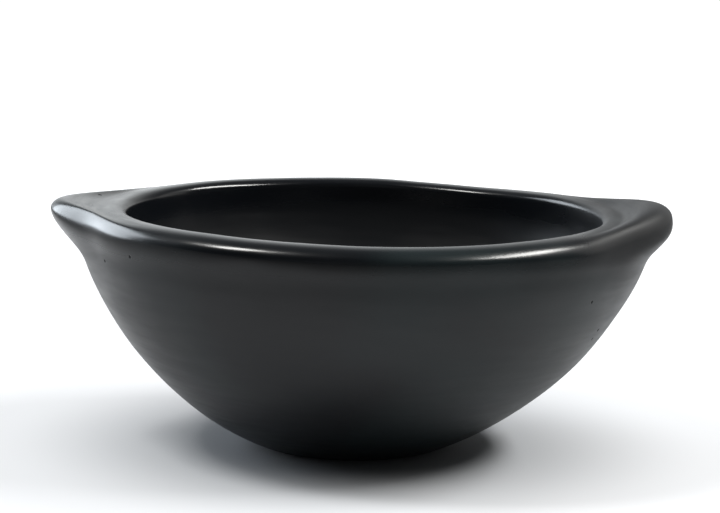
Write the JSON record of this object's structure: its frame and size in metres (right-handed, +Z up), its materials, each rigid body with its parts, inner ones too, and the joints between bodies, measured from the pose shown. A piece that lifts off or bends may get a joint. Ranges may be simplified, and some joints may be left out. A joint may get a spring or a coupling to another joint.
{
  "type": "clay casserole dish",
  "caption": "Hand-built burnished black clay casserole dish: a deep round bowl on a small flat base, with a rolled rim and a pulled lug handle at each side, for oven baking and serving.",
  "frame": {"origin": "on the table, at the middle of the flat base, under the axis of the bowl", "axes": "+X through the right lug, +Z up out of the mouth; -Y is the side that the picture shows"},
  "size_m": [0.2, 0.18, 0.0787],
  "materials": {
    "black_clay": "smoked black clay, burnished to a soft satin gloss, unglazed"
  },
  "bodies": {
    "root": {"moulded_base": "black_clay", "lower_wall": "black_clay", "upper_wall": "black_clay", "rolled_rim": "black_clay", "left_lug": "black_clay", "right_lug": "black_clay"}
  },
  "joints": []
}
